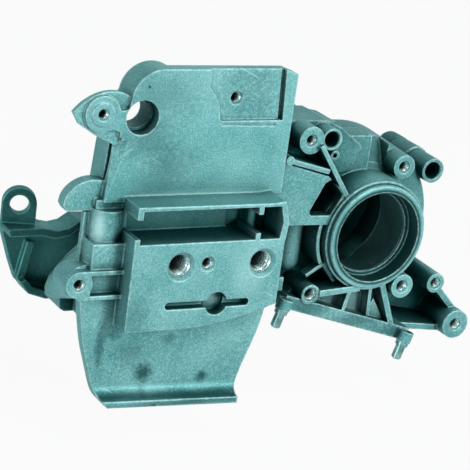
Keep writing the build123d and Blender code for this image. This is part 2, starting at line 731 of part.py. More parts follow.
def fly_hollow(joint):
    inner = chamber_parting_r - chamber_wall
    floor_y = fly_floor_y
    shelf_y = fly_floor_y + 9.0
    return spun(((0, joint - 1), (inner, joint - 1), (inner - 1.5, floor_y - 3.0), (inner - 4.5, floor_y),
                 (fly_bearing_r, floor_y), (fly_bearing_r, shelf_y), (fly_seal_r, shelf_y),
                 (fly_seal_r, fly_hub_y + 1), (0, fly_hub_y + 1)))


def fly_ribs(joint):
    # spokes from the hub out to the screw bosses
    ribs = rib((0, 0), (-27.5, 32.5), 2.2, fly_wall_y - 6, fly_wall_y + 4)
    ribs += rib((0, 0), (31.5, -20.5), 2.2, fly_wall_y - 6, fly_wall_y + 4)
    ribs += rib((0, 0), (26.5, 17.8), 2.2, fly_wall_y - 6, fly_wall_y + 4)
    ribs += rib((0, 0), (-21.5, -19.5), 2.2, fly_wall_y - 6, fly_wall_y + 4)
    ribs += box(-50.0, -24.0, joint, tank_back_y - 4, -20.0, -16.5)
    ribs += box(-50.0, -24.0, joint, tank_back_y - 4, 26.0, 29.5)
    return ribs


def handle_bracket():
    # far bracket: shelf, tapering scoop and a drilled ear
    scoop = slab(shape(((-129.0, -7.6), (-128.2, -11.8), (-124.8, -21.8), (-122.1, -28.5), (-118.6, -32.9),
                        (-111.6, -35.3), (-88.0, -35.3), (-88.0, -5.6), (-99.1, -5.2), (-102.1, -4.9),
                        (-106.1, -7.6), (-110.0, -9.0), (-115.0, -7.0)), 0.7), bracket_y, bracket_y + 3.0)
    shelf = slab(shape(((-129.6, -7.0), (-116.0, -7.0), (-110.4, -8.2), (-106.1, -7.4), (-102.1, -4.7),
                        (-88.0, -5.2), (-88.0, -8.0), (-101.6, -7.6), (-105.6, -10.2), (-111.0, -11.2),
                        (-116.6, -9.8), (-128.8, -9.8)), 0.5), bracket_y - 8.0, bracket_y + 3.0)
    floor = slab(shape(((-122.1, -28.5), (-118.6, -32.9), (-111.6, -35.3), (-88.0, -35.3),
                        (-88.0, -32.6), (-111.4, -32.6), (-117.0, -30.6), (-120.0, -27.4))),
                 bracket_y - 6.0, bracket_y + 3.0)
    ridge = rib((-118.0, -14.0), (-121.0, -29.0), 3.0, bracket_y - 2.5, bracket_y + 1.0)
    root = box(-93.0, -86.0, parting_y + gasket_t, bracket_y + 3.0, -35.3, -5.4)
    ear = Pos(ear_x, bracket_y, ear_z) * Rot(0, 0, -ear_turn) * ear_plate()
    return scoop + shelf + floor + ridge + root + ear


def ear_plate():
    # drilled ear that stands on the bracket's shelf
    outline = Circle(ear_r) + Pos(0.0, -ear_foot) * Rectangle(2 * ear_r, 2 * ear_foot)
    plate = slab(outline, -ear_t / 2, ear_t / 2)
    return plate - post(0, 0, ear_hole_r, -ear_t, ear_t)


# Small pieces

def case_gasket(half):
    # paper gasket cut to the joint face of the clutch half
    body = None
    for face in half.faces():
        if face.geom_type == GeomType.PLANE and abs(face.center().Y - parting_y) < 0.001:
            sheet = extrude(face, amount=gasket_t, dir=(0, 1, 0))
            body = sheet if body is None else body + sheet
    for x, z in screw_spots:
        body -= post(x, z, screw_r + screw_clear, parting_y - 1, parting_y + 2)
    return body


def case_dowels():
    middle = parting_y + gasket_t / 2
    dowels = []
    for x, z in dowel_spots:
        tube = post(x, z, dowel_r, middle - dowel_len / 2 + 0.3, middle + dowel_len / 2 - 0.3)
        dowels.append(tube - post(x, z, dowel_bore_r, parting_y - 20, parting_y + 20))
    return Compound(children=dowels)


def case_screws():
    screws = []
    tip = parting_y - screw_thread_depth + 1.5
    for x, z in screw_spots:
        screw = post(x, z, screw_r, tip, screw_seat_y + 0.5)
        head = post(x, z, screw_head_r, screw_seat_y, screw_seat_y + screw_head_h)
        socket = slab(Pos(x, z) * RegularPolygon(screw_socket_r, 6), screw_seat_y + 2.4,
                      screw_seat_y + screw_head_h + 1)
        screws.append(screw + head - socket)
    return Compound(children=screws)


def seat_pins():
    pins = []
    for side in (-1, 1):
        seat = pin_plane(side)
        pin = extrude(seat.offset(-seat_pin_in) * Circle(seat_pin_r), amount=seat_pin_in + seat_pin_out)
        pin = chamfer(pin.edges().group_by(Axis.Z)[0], 0.5)
        pin += extrude(seat * Circle(seat_pin_collar_r), amount=seat_pin_collar_t)
        pins.append(pin)
    return Compound(children=pins)


def main():
    os.makedirs("parts", exist_ok=True)
    clutch_side = crankcase_clutch_side()
    parts = {
        "crankcase_clutch_side": clutch_side,
        "crankcase_flywheel_side": crankcase_flywheel_side(),
        "case_gasket": case_gasket(clutch_side),
        "case_dowels": case_dowels(),
        "case_screws": case_screws(),
        "seat_pins": seat_pins(),
    }
    for name, body in parts.items():
        export_step(body, "parts/" + name + ".step")
        print(name, "solids", len(body.solids()), "volume", round(body.volume, 1))


main()
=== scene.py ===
# %% [markdown]
# A die-cast chainsaw crankcase, dressed for a studio picture. The solids come from the CAD
# model and stay exactly where they are. This file gives them their cast skin, puts threads
# into the plain holes, and sets up the light and the camera.

# %% Load the solids
import json
import math
import bpy
import numpy as np
from mathutils import Matrix, Vector


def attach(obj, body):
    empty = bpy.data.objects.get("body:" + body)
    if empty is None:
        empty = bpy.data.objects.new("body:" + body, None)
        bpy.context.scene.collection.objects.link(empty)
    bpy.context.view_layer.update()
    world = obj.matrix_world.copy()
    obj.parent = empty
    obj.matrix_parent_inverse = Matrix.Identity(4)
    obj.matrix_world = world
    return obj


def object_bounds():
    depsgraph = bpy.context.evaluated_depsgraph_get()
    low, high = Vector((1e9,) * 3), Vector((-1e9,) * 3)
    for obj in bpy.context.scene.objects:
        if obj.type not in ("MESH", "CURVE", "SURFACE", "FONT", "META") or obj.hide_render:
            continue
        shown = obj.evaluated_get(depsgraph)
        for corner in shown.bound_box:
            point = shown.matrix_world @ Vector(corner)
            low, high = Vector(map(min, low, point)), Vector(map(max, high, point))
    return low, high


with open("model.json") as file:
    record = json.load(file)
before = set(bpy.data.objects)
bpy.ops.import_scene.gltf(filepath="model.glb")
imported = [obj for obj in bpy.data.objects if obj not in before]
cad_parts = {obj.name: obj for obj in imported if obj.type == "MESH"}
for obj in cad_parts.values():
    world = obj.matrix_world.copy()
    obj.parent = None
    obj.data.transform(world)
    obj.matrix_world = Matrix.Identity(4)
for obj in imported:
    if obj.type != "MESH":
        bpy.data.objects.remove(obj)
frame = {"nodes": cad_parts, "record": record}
cad_low, cad_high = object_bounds()
solids = frame["nodes"]
MM = 0.001
print("solids:", sorted(solids))
print("size in mm:", [round((b - a) / MM, 1) for a, b in zip(cad_low, cad_high)])


# %% [markdown]
# Every finish below is a network of shader nodes. One short helper adds a node, fills in its
# sockets and links whatever is handed to it, so that each finish reads as a list of steps.
# Patterns are read from Object coordinates, which stay fixed to the metal in every view.

# %% Helpers for shader nodes
def new_finish(name):
    finish = bpy.data.materials.new(name)
    finish.use_nodes = True
    finish.node_tree.nodes.clear()
    return finish, finish.node_tree


def plug(tree, socket, value):
    """Links another node's output to the socket, or writes a plain value into it."""
    if isinstance(value, bpy.types.NodeSocket):
        tree.links.new(value, socket)
    else:
        socket.default_value = value


def add(tree, kind, settings=None, **sockets):
    """A shader node. A socket is named by its label, or as i0, i1 and so on by its number."""
    node = tree.nodes.new(kind)
    for key, value in (settings or {}).items():
        setattr(node, key, value)
    for key, value in sockets.items():
        numbered = key[0] == "i" and key[1:].isdigit()
        plug(tree, node.inputs[int(key[1:]) if numbered else key.replace("_", " ")], value)
    return node


def show(tree, shader, target="Material"):
    """Ends a network: the shader goes to the output of a material or of the world."""
    out = add(tree, "ShaderNodeOutput" + target)
    tree.links.new(shader.outputs[0], out.inputs[0])


# %% [markdown]
# The finishes are reckoned from a few small operations: noise, sums, products, and a range of
# one value stretched onto another. Each gets a short name here, because a finish uses it ten
# times or more. Colours were picked on screen, and shaders want them in linear values.

# %% Small operations
def fixed_place(tree):
    return add(tree, "ShaderNodeTexCoord").outputs["Object"]


def noise(tree, place, scale, detail, roughness=0.5):
    return add(tree, "ShaderNodeTexNoise", Vector=place, Scale=scale, Detail=detail,
               Roughness=roughness).outputs["Fac"]


def mixed(tree, factor, first, second):
    node = add(tree, "ShaderNodeMix", {"data_type": "RGBA"})
    for index, value in ((0, factor), (6, first), (7, second)):
        plug(tree, node.inputs[index], value)
    return node.outputs[2]


def ranged(tree, value, low, high, to_low=0.0, to_high=1.0):
    node = add(tree, "ShaderNodeMapRange", {"clamp": True}, Value=value)
    for index, number in ((1, low), (2, high), (3, to_low), (4, to_high)):
        node.inputs[index].default_value = number
    return node.outputs["Result"]


def reckoned(tree, operation, first, second):
    return add(tree, "ShaderNodeMath", {"operation": operation}, i0=first, i1=second).outputs[0]


def times(tree, first, second):
    return reckoned(tree, "MULTIPLY", first, second)


def vector_of(tree, operation, output, **sockets):
    return add(tree, "ShaderNodeVectorMath", {"operation": operation}, **sockets).outputs[output]


def along_y(tree, place):
    return add(tree, "ShaderNodeSeparateXYZ", Vector=place).outputs["Y"]


def openness(tree, reach):
    """1 on open metal, and less in a recess, looked for within reach."""
    return add(tree, "ShaderNodeAmbientOcclusion", {"samples": 8}, Distance=reach).outputs["AO"]


def bumped(tree, height, relief, **under):
    strength, depth = relief
    return add(tree, "ShaderNodeBump", Strength=strength, Distance=depth, Height=height,
               **under).outputs["Normal"]


def paint(red, green, blue):
    """A colour picked on screen, 0 to 255, turned into the linear values that shaders use."""
    return tuple(((c / 255 + 0.055) / 1.055) ** 2.4 if c > 10 else c / 3294.6
                 for c in (red, green, blue)) + (1.0,)


print("mid grey of the screen in linear values:", [round(v, 3) for v in paint(128, 128, 128)])


# %% [markdown]
# The cast skin. A pressure-cast alloy part is blasted after casting, which leaves a fine even
# grain, with soft clouds where the melt met the colder die. Corners get a painted highlight,
# and recesses are painted darker as painted shade. The grain could be modelled, but it is finer
# than any mesh, so noise drives the bump, the colour and the gloss. The scales below count
# waves per metre, and a relief is its strength and its depth.

# %% Sizes of the skin's patterns
GRAIN, FLECK, MOTTLE, CLOUD = 2600.0, 1900.0, 620.0, 42.0
EDGE_ROUNDING = 1.05 * MM
RECESS_REACH = 20 * MM
CAVE_REACH = 70 * MM
GRAIN_RELIEF, FLECK_RELIEF = (0.35, 0.12 * MM), (0.30, 0.35 * MM)
METALLIC, SHINE = 0.28, 0.25
TEAL_SHINE = (0.25, 0.95, 0.95, 1.0)
print("finest grain in mm:", round(1 / GRAIN / MM, 2), " clouds in mm:", round(1 / CLOUD / MM))


# %% [markdown]
# How strongly each pattern tells. Each row gives the values of a pattern between which a
# change of tone comes in, and then the change at either end where it isn't 0 and 1.

# %% Ranges of the skin's patterns
MIDDLE_SPAN = (0.35, 0.65)
MOTTLE_WORN = (0.45, 0.75, 0.0, 0.12)
FLECK_DARK = (0.50, 0.70, 0.0, 0.34)
FLECK_BRIGHT = (0.46, 0.30, 0.0, 0.25)
# DEPTH_DARK, RECESS_DARK and CAVE_DARK are painted shade: with depth, in recesses and in caves.
DEPTH_DARK = (0.5 * MM, 30 * MM, 0.0, 0.50)
RECESS_DARK = (0.22, 0.85, 1.0, 0.0)
CAVE_DARK = (0.08, 0.50, 0.92, 0.0)
# The EDGE rows place a painted highlight along the edges, and EDGE_POLISH makes them glossier.
EDGE_TURN = (0.985, 0.86)
EDGE_OPEN = (0.30, 0.60)
EDGE_PATCHY = (0.35, 0.60, 0.35, 1.0)
EDGE_BRIGHT, EDGE_POLISH = 0.85, 0.12
SKIN_ROUGHNESS = (0.3, 0.7, 0.38, 0.52)
print("the skin darkens down to", round(DEPTH_DARK[1] / MM), "mm behind the front")


# %% [markdown]
# Two marks that noise alone doesn't give. Handling leaves fine straight scratches, which are
# noise drawn out to fifty times its width. Oil and the blast leave dark stains at places of
# their own, and painted shade and painted highlights go at given places too, so each is a
# soft ball round a point, with its rim made ragged by noise. The groove and mouth of the seal
# housing get painted shade all round, so they are told by their radius.

# %% Scratches, spots and the seal mouth's painted shade
SCRATCH_SIZE = (16 * MM, 3 * MM, 0.3 * MM)
SCRATCH_LINE, SCRATCH_FIELD = (0.74, 0.80), (0.54, 0.66)
SCRATCH_TURNS = ((28.0, 3.0), (-37.0, 11.0))
SCRATCH_BRIGHT = 0.55
SPOT_RAGGED = (0.2, 0.8, -0.25, 0.25)
SPOT_FADE = (0.3, 1.05, 1.0, 0.0)
LONG_SPOT = 20
SEAL_MOUTH, MOUTH_DARK = (18.4, 19.2, 7.0), 0.90


def scratches(tree, place, turn, seed):
    """Fine lines on faces that look forward: noise stretched along a line turned by turn."""
    along = add(tree, "ShaderNodeMapping", {"vector_type": "TEXTURE"}, Vector=place,
                Location=(seed * MM, 0.0, 0.0), Rotation=(0.0, math.radians(turn), 0.0),
                Scale=SCRATCH_SIZE).outputs[0]
    line = noise(tree, along, 1.0, 0.0)
    where = noise(tree, place, 70.0 + seed, 1.0)
    return times(tree, ranged(tree, line, *SCRATCH_LINE), ranged(tree, where, *SCRATCH_FIELD))


def soft_spot(tree, place, ragged, centre, reach):
    """1 at the centre and 0 from reach outwards, both in mm, with a ragged rim."""
    spot = add(tree, "ShaderNodeMapping", {"vector_type": "TEXTURE"}, Vector=place,
               Location=tuple(v * MM for v in centre),
               Scale=tuple(v * MM for v in reach)).outputs[0]
    far = vector_of(tree, "LENGTH", "Value", i0=spot)
    far = reckoned(tree, "ADD", far, ranged(tree, ragged, *SPOT_RAGGED))
    return ranged(tree, far, *SPOT_FADE)


def about_crank(tree, place, inner, outer, deepest):
    """1 nearer to the crank axis than inner, 0 from outer outwards and behind deepest, in mm."""
    flat = vector_of(tree, "MULTIPLY", "Vector", i0=place, i1=(1.0, 0.0, 1.0))
    radius = vector_of(tree, "LENGTH", "Value", i0=flat)
    near = ranged(tree, radius, inner * MM, outer * MM, 1.0, 0.0)
    fore = ranged(tree, along_y(tree, place), deepest * MM, (deepest + 0.5) * MM, 1.0, 0.0)
    return times(tree, near, fore)


print("a scratch in mm:", [round(v / MM, 1) for v in SCRATCH_SIZE])


# %% [markdown]
# The finish itself, in four layers: the skin's own tones with its stains and some painted
# shade, painted shade with depth and in recesses, painted highlights on spots and edges, and
# the relief. The Bevel node rounds sharp corners for the light only. The angle between its
# normal and the true one tells where an edge is, and so where its painted highlight goes.

# %% The cast alloy finish
def marked(tree, tone, marks, colour, place, fine, slow):
    """Paints each mark (centre, reach, strength) over the tone. A long one frays slowly."""
    for centre, reach, strength in marks:
        rim = slow if reach[0] > LONG_SPOT else fine
        mark = times(tree, soft_spot(tree, place, rim, centre, reach), strength)
        tone = mixed(tree, mark, tone, colour)
    return tone


def shaded(tree, tone, gloom, place, hollow):
    """Painted shade: darker with depth, in a recess, in a cave, and in the mouth of the seal
    housing.
    """
    tone = mixed(tree, ranged(tree, along_y(tree, place), *DEPTH_DARK), tone, gloom)
    tone = mixed(tree, ranged(tree, hollow, *RECESS_DARK), tone, gloom)
    tone = mixed(tree, ranged(tree, openness(tree, CAVE_REACH), *CAVE_DARK), tone, gloom)
    return mixed(tree, times(tree, about_crank(tree, place, *SEAL_MOUTH), MOUTH_DARK), tone, gloom)


def edge_highlight(tree, rounded, hollow, mottle):
    """Painted highlight on edges: 1 where a rounded corner's normal leaves the true one, on open
    metal, in patches.
    """
    true_normal = add(tree, "ShaderNodeNewGeometry").outputs["Normal"]
    turned = vector_of(tree, "DOT_PRODUCT", "Value", i0=rounded, i1=true_normal)
    edge = times(tree, ranged(tree, turned, *EDGE_TURN), ranged(tree, hollow, *EDGE_OPEN))
    return times(tree, edge, ranged(tree, mottle, *EDGE_PATCHY))


def cast_alloy(name, pale, deep, gloom, wear_and_highlight, stains_and_shade=(), painted_highlights=()):
    finish, tree = new_finish(name)
    place = fixed_place(tree)
    grain = noise(tree, place, GRAIN, 3.0, 0.6)
    fleck = noise(tree, place, FLECK, 2.0)
    mottle = noise(tree, place, MOTTLE, 4.0, 0.55)
    cloud = noise(tree, place, CLOUD, 3.0)

    tone = mixed(tree, ranged(tree, cloud, *MIDDLE_SPAN), deep, pale)
    tone = mixed(tree, ranged(tree, mottle, *MOTTLE_WORN), tone, wear_and_highlight)
    tone = mixed(tree, ranged(tree, fleck, *FLECK_DARK), tone, gloom)
    tone = mixed(tree, ranged(tree, fleck, *FLECK_BRIGHT), tone, wear_and_highlight)
    # stains, and painted shade at given places
    tone = marked(tree, tone, stains_and_shade, gloom, place, mottle, cloud)
    for turn, seed in SCRATCH_TURNS:
        mark = times(tree, scratches(tree, place, turn, seed), SCRATCH_BRIGHT)
        tone = mixed(tree, mark, tone, wear_and_highlight)

    hollow = openness(tree, RECESS_REACH)
    # painted shade: darker with depth, in recesses, in caves and in the seal's mouth
    tone = shaded(tree, tone, gloom, place, hollow)
    # painted highlights at given places
    tone = marked(tree, tone, painted_highlights, wear_and_highlight, place, mottle, mottle)
    rounded = add(tree, "ShaderNodeBevel", {"samples": 6}, Radius=EDGE_ROUNDING).outputs["Normal"]
    edge = edge_highlight(tree, rounded, hollow, mottle)
    # a painted highlight along the edges
    tone = mixed(tree, times(tree, edge, EDGE_BRIGHT), tone, wear_and_highlight)

    relief = bumped(tree, grain, GRAIN_RELIEF, Normal=rounded)
    relief = bumped(tree, fleck, FLECK_RELIEF, Normal=relief)
    gloss = reckoned(tree, "SUBTRACT", ranged(tree, mottle, *SKIN_ROUGHNESS),
                     times(tree, edge, EDGE_POLISH))
    show(tree, add(tree, "ShaderNodeBsdfPrincipled", Base_Color=tone, Metallic=METALLIC,
                   Roughness=gloss, Specular_IOR_Level=SHINE, Specular_Tint=TEAL_SHINE,
                   Normal=relief))
    print(name, "has", len(tree.nodes), "nodes")
    return finish


# %% [markdown]
# Where the stains, the painted shade and a few darker patches go. They belong to this one
# casting, so they are written down by place. Each row gives the centre and the reach in mm,
# and then the strength.

# %% Stains and painted shade on the clutch side
skirt_stains = [
    ((-92.4, -3.0, -45.6), (4.9, 6.0, 4.7), 0.85),
    ((-68.7, -3.0, -49.1), (3.1, 6.0, 2.7), 0.80),
    ((-98.3, -3.0, -38.6), (8.0, 6.0, 6.5), 0.32),
    ((-83.7, -3.0, -33.5), (3.6, 6.0, 2.8), 0.38),
    ((-106.0, -3.0, -29.7), (3.8, 6.0, 3.2), 0.50),
    ((-110.5, -3.0, -33.9), (2.4, 6.0, 12.0), 0.60),
    ((-92.6, -3.0, -53.3), (2.2, 6.0, 4.5), 0.40),
]
# patches that darken the plate towards its lower left, and painted shade at its upper left
plate_patches_and_shade = [
    ((-99.3, 0.0, 39.5), (13.0, 6.0, 9.0), 0.38),
    ((-88.8, 0.0, 32.2), (12.0, 6.0, 7.0), 0.30),
    ((-93.6, 0.0, 25.1), (13.0, 6.0, 8.0), 0.28),
    ((-95.8, 0.0, 55.4), (20.0, 6.0, 13.0), 0.30),
    ((-62.0, 0.0, 57.0), (17.0, 6.0, 14.0), 0.30),
]
pits = [
    ((-101.8, 0.0, 58.2), (0.7, 3.0, 0.7), 0.95),
    ((-88.9, -8.0, -56.8), (0.9, 3.0, 0.9), 0.90),
]
# a stain on the pad, and painted shade on the barrel's right side
pad_stain_and_barrel_shade = [
    ((-103.2, -12.0, -20.0), (6.0, 4.0, 9.0), 0.30),
    ((-108.0, -1.0, 8.6), (4.2, 6.0, 11.0), 0.65),
]
# the seat's front face darker in three bands
seat_darkening = [
    ((-23.0, 3.0, -27.5), (14.0, 5.0, 7.0), 0.55),
    ((-2.0, 3.0, -34.5), (16.0, 5.0, 5.0), 0.55),
    ((17.0, 3.0, -40.0), (16.0, 5.0, 5.0), 0.55),
]
# painted shade in the cove and along the lip
cove_and_lip_shade = [
    ((-101.0, -5.5, -52.6), (22.0, 3.0, 2.6), 0.75),
    ((-82.0, -5.5, -54.3), (26.0, 3.0, 2.4), 0.75),
    ((-62.0, -5.5, -55.3), (22.0, 3.0, 2.4), 0.75),
    ((-84.0, -8.5, -56.6), (40.0, 1.8, 2.4), 0.70),
]
# painted shade on the slot's floor, on the web and on the fork's side
slot_web_and_fork_shade = [
    ((-76.0, -3.0, 5.6), (40.0, 7.5, 2.6), 0.80),
    ((-14.0, 14.0, 38.0), (17.0, 9.0, 9.0), 0.45),
    ((-111.0, -4.5, -4.7), (9.0, 3.0, 3.0), 0.45),
]
clutch_stains_and_shade = (skirt_stains + plate_patches_and_shade + pits + pad_stain_and_barrel_shade + seat_darkening
                 + cove_and_lip_shade + slot_web_and_fork_shade)
print("stains:", len(clutch_stains_and_shade))


# %% [markdown]
# Painted highlights, placed the same way: bright patches on the hinge barrel, on the pad and
# along its edge, in a few recesses, and on the far half's bracket and inside its crank chamber.

# %% Painted highlights
clutch_painted_highlights = [
    ((-115.4, -1.5, 9.0), (2.6, 6.0, 7.5), 0.62),
    ((-1.0, 9.0, -29.5), (24.0, 5.0, 8.0), 0.20),
    ((-24.0, 13.0, -1.0), (7.0, 9.0, 12.0), 0.05),
    ((-78.0, -6.0, 20.0), (36.0, 9.0, 2.2), 0.22),
    ((-71.8, -8.0, -17.1), (3.4, 4.0, 3.4), 0.25),
    ((-60.0, -12.0, -5.0), (9.0, 4.0, 12.0), 0.20),
]
flywheel_painted_highlights = [
    ((-112.0, 49.0, -15.0), (20.0, 10.0, 18.0), 0.32),
    ((18.0, 45.0, -22.0), (8.0, 9.0, 6.0), 0.40),
]
print("rubbed spots:", len(clutch_painted_highlights), "and", len(flywheel_painted_highlights))


# %% [markdown]
# Both halves are the same alloy. The far half lies in the shade of the near one, so its tones
# are painted lower, as painted shade.

# %% The two cast skins
clutch_skin = cast_alloy("cast alloy, clutch side", pale=paint(125, 183, 184),
                         deep=paint(92, 156, 157), gloom=paint(2, 54, 54),
                         wear_and_highlight=paint(208, 249, 249), stains_and_shade=clutch_stains_and_shade, painted_highlights=clutch_painted_highlights)
# the far half's lower tones are painted shade
shaded_flywheel_skin = cast_alloy("cast alloy, flywheel side", pale=paint(88, 152, 150),
                           deep=paint(54, 112, 110), gloom=paint(2, 46, 45),
                           wear_and_highlight=paint(130, 220, 217), painted_highlights=flywheel_painted_highlights)


# %% [markdown]
# Steel fittings and the paper gasket. The screws, dowels and pins are plain steel with a thin
# oil film, so they are darker and smoother than the casting. The gasket is a compressed fibre
# sheet, of which only the edge shows.

# %% Steel and gasket paper
FILM, SCUFF, FIBRE = 320.0, 2600.0, 1500.0
SCUFF_RELIEF, FIBRE_RELIEF = (0.2, 0.05 * MM), (0.4, 0.1 * MM)
FILM_ROUGHNESS = (0.3, 0.7, 0.24, 0.42)
STEEL_METALLIC, PAPER_ROUGHNESS = 0.9, 0.85


def plain_steel():
    finish, tree = new_finish("oiled steel")
    place = fixed_place(tree)
    film = noise(tree, place, FILM, 4.0)
    scuff = noise(tree, place, SCUFF, 2.0)
    tone = mixed(tree, ranged(tree, film, *MIDDLE_SPAN), paint(70, 112, 112), paint(128, 172, 170))
    show(tree, add(tree, "ShaderNodeBsdfPrincipled", Base_Color=tone, Metallic=STEEL_METALLIC,
                   Roughness=ranged(tree, film, *FILM_ROUGHNESS),
                   Normal=bumped(tree, scuff, SCUFF_RELIEF)))
    return finish


def gasket_paper():
    finish, tree = new_finish("gasket paper")
    fibre = noise(tree, fixed_place(tree), FIBRE, 5.0)
    tone = mixed(tree, fibre, paint(24, 58, 58), paint(52, 92, 90))
    show(tree, add(tree, "ShaderNodeBsdfPrincipled", Base_Color=tone, Roughness=PAPER_ROUGHNESS,
                   Normal=bumped(tree, fibre, FIBRE_RELIEF)))
    return finish


steel = plain_steel()
paper = gasket_paper()
print("small finishes:", steel.name, "|", paper.name)


# %% [markdown]
# Each solid takes its finish. The solids arrive as loose triangles, so round walls would show
# flat strips. A Weld modifier joins the triangles while the mesh data stays as it came, and a
# small geometry-node group shades every edge smooth that turns by less than thirty degrees.

# %% A group that shades gentle edges smooth
SMOOTH_BELOW = math.radians(30)
WELD = 0.002 * MM


def smooth_group():
    group = bpy.data.node_groups.new("smooth gentle edges", "GeometryNodeTree")
    for way in ("INPUT", "OUTPUT"):
        group.interface.new_socket("Geometry", in_out=way, socket_type="NodeSocketGeometry")
    come = group.nodes.new("NodeGroupInput")
    go = group.nodes.new("NodeGroupOutput")
    angle = group.nodes.new("GeometryNodeInputMeshEdgeAngle")
    gentle = group.nodes.new("FunctionNodeCompare")
    gentle.operation = "LESS_THAN"
    gentle.inputs["B"].default_value = SMOOTH_BELOW
    faces = group.nodes.new("GeometryNodeSetShadeSmooth")
    faces.domain = "FACE"
    edges = group.nodes.new("GeometryNodeSetShadeSmooth")
    edges.domain = "EDGE"
    group.links.new(come.outputs[0], faces.inputs[0])
    group.links.new(faces.outputs[0], edges.inputs[0])
    group.links.new(angle.outputs["Unsigned Angle"], gentle.inputs["A"])
    group.links.new(gentle.outputs[0], edges.inputs["Shade Smooth"])
    group.links.new(edges.outputs[0], go.inputs[0])
    return group


gentle_edges = smooth_group()
print("group:", gentle_edges.name, "with", len(gentle_edges.nodes), "nodes")


# %% [markdown]
# The two halves get the cast skins, the gasket its paper, and all small pieces the steel.

# %% Dress the solids
finishes = {"crankcase_clutch_side": clutch_skin, "crankcase_flywheel_side": shaded_flywheel_skin,
            "case_gasket": paper, "case_dowels": steel, "case_screws": steel, "seat_pins": steel}
for name, finish in finishes.items():
    solid = solids[name]
    solid.data.materials.clear()
    solid.data.materials.append(finish)
    weld = solid.modifiers.new("join triangles", "WELD")
    weld.merge_threshold = WELD
    smooth = solid.modifiers.new("smooth gentle edges", "NODES")
    smooth.node_group = gentle_edges
    print(name, "takes", finish.name, "on", len(solid.data.polygons), "faces")


# %% [markdown]
# Threads. In the photograph the screw holes glitter, because each thread is a bright spiral
# ledge in a dark hole. A spiral groove could be cut in CAD, at a great cost in triangles, so
# each hole gets a thin sleeve instead: a tube whose inner radius rises and falls once a turn.

# %% Shapes of a thread sleeve
INNER_GAP, OUTER_GAP = 0.03, 0.015
CREST_POWER = 0.7


def thread_sleeve(name, x, z, front, back, wall_r, pitch, tooth, around=36, rows_a_turn=8):
    """A tube on a grid of angle a and depth y, in mm. The inner radius is the wall's radius
    less tooth * (1 - |2 f - 1|) ** 0.7, where f is the fraction of a turn left in
    (y / pitch - a / 2 pi). The outer skin is a plain cylinder just inside the hole."""
    rows = int((back - front) / pitch * rows_a_turn) + 1
    a = np.linspace(0, 2 * np.pi, around, endpoint=False)
    y = np.linspace(front, back, rows)
    turn, depth = np.meshgrid(a, y)
    fraction = np.mod(depth / pitch - turn / (2 * np.pi), 1.0)
    crest = (1 - np.abs(2 * fraction - 1)) ** CREST_POWER
    fade = np.clip((depth - front) / pitch, 0, 1)
    inner = wall_r - INNER_GAP - tooth * crest * fade
    outer = np.full_like(inner, wall_r - OUTER_GAP)
    radius = np.vstack([inner, outer[::-1]])
    deep = np.vstack([depth, depth[::-1]])
    spin = np.vstack([turn, turn])
    points = np.stack([x + radius * np.cos(spin), deep, z + radius * np.sin(spin)], axis=-1)
    return closed_ring(name, points.reshape(-1, 3) * MM, 2 * rows, around)


def closed_ring(name, points, rows, around):
    """Quads over a grid that closes both ways: each point joins its neighbours with wrap."""
    row, column = np.meshgrid(np.arange(rows), np.arange(around), indexing="ij")
    below = (row + 1) % rows
    beside = (column + 1) % around
    quads = np.stack([row * around + column, below * around + column,
                      below * around + beside, row * around + beside], axis=-1).reshape(-1, 4)
    mesh = bpy.data.meshes.new(name)
    mesh.from_pydata(points.tolist(), [], quads.tolist())
    mesh.validate()
    piece = bpy.data.objects.new(name, mesh)
    bpy.context.collection.objects.link(piece)
    return piece


def outward(piece):
    """True if the closed mesh's faces point out: its signed volume is then positive."""
    corners = np.empty(len(piece.data.polygons) * 4, dtype=np.int64)
    piece.data.polygons.foreach_get("vertices", corners)
    place = np.empty(len(piece.data.vertices) * 3)
    piece.data.vertices.foreach_get("co", place)
    p = place.reshape(-1, 3)[corners.reshape(-1, 4)]
    volume = np.einsum("ij,ij->i", p[:, 0], np.cross(p[:, 1], p[:, 2]))
    volume += np.einsum("ij,ij->i", p[:, 0], np.cross(p[:, 2], p[:, 3]))
    return volume.sum() > 0


print("gap behind a sleeve in mm:", OUTER_GAP)


# %% [markdown]
# The finish of a cut thread. In a real hole only the first turns catch light, and the rest are
# nearly black. Here the white surround would shine in all of them, so the tone falls to near
# black where the hole closes in.

# %% The cut thread finish
CHATTER = 1900.0
CHATTER_RELIEF = (0.3, 0.08 * MM)
THREAD_REACH = 9 * MM
THREAD_DARK = (0.12, 0.42, 0.98, 0.0)
THREAD_ROUGHNESS = (0.3, 0.7, 0.24, 0.40)
THREAD_METALLIC = 0.95


def cut_thread():
    finish, tree = new_finish("cut thread")
    chatter = noise(tree, fixed_place(tree), CHATTER, 3.0)
    cut = mixed(tree, ranged(tree, chatter, *MIDDLE_SPAN), paint(130, 184, 184),
                paint(236, 250, 250))
    inside = ranged(tree, openness(tree, THREAD_REACH), *THREAD_DARK)
    show(tree, add(tree, "ShaderNodeBsdfPrincipled",
                   Base_Color=mixed(tree, inside, cut, paint(1, 16, 17)),
                   Metallic=THREAD_METALLIC, Roughness=ranged(tree, chatter, *THREAD_ROUGHNESS),
                   Normal=bumped(tree, chatter, CHATTER_RELIEF)))
    return finish


thread_metal = cut_thread()
print("thread finish:", thread_metal.name)


# %% [markdown]
# One sleeve for each threaded hole that the record of the part names, so a hole that moves in
# CAD takes its thread with it. The bar studs have a coarse thread and the screws a finer one.

